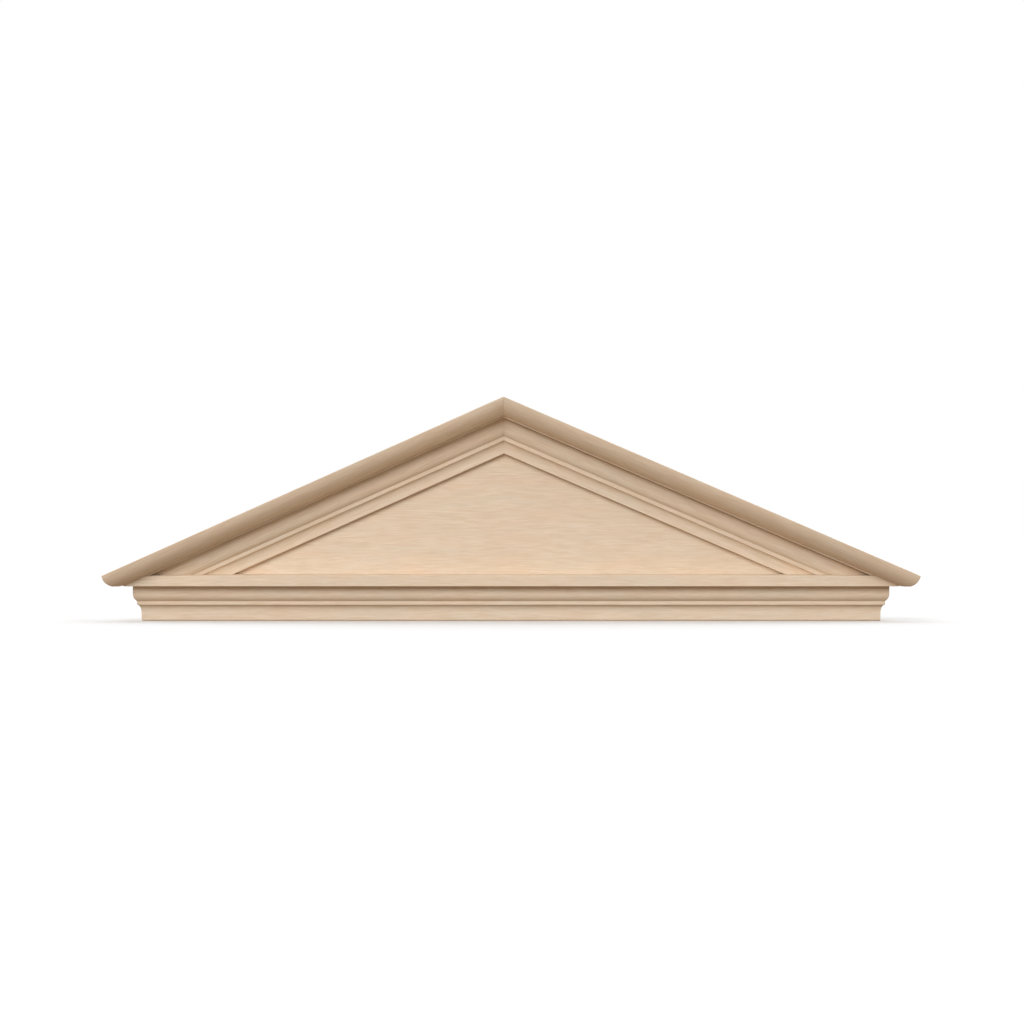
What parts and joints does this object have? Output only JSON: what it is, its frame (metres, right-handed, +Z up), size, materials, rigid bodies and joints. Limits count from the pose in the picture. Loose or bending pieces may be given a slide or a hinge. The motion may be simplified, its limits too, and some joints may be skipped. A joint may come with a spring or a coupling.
{
  "type": "door pediment",
  "caption": "Triangular hardwood door pediment: flat tympanum on a square-edged corona, bed mouldings below it and up the rakes, and an ovolo crown with end returns.",
  "frame": {"origin": "middle of the bounding box's underside: midway between the crown's outer tips, midway between the wall plane and the crown's front, at the underside of the bed moulding", "axes": "+X to the viewer's right along the length, -Y towards the viewer with the flat back facing +Y, +Z up"},
  "size_m": [1.2352, 0.09, 0.3396],
  "materials": {
    "maple_bed_mould": "clear unfinished maple, run on a moulder and sanded",
    "maple_board": "clear unfinished maple board, planed and sanded",
    "maple_panel": "clear unfinished maple panel, planed and sanded, grain level",
    "maple_crown": "clear unfinished maple, run on a moulder and sanded"
  },
  "bodies": {
    "root": {"bed_mould_front": "maple_bed_mould", "bed_return_left": "maple_bed_mould", "bed_return_right": "maple_bed_mould", "corona_board": "maple_board", "tympanum_panel": "maple_panel", "raking_board_left": "maple_board", "raking_board_right": "maple_board", "raking_bed_left": "maple_bed_mould", "raking_bed_right": "maple_bed_mould", "crown_left": "maple_crown", "crown_right": "maple_crown", "crown_return_left": "maple_crown", "crown_return_right": "maple_crown"}
  },
  "joints": []
}
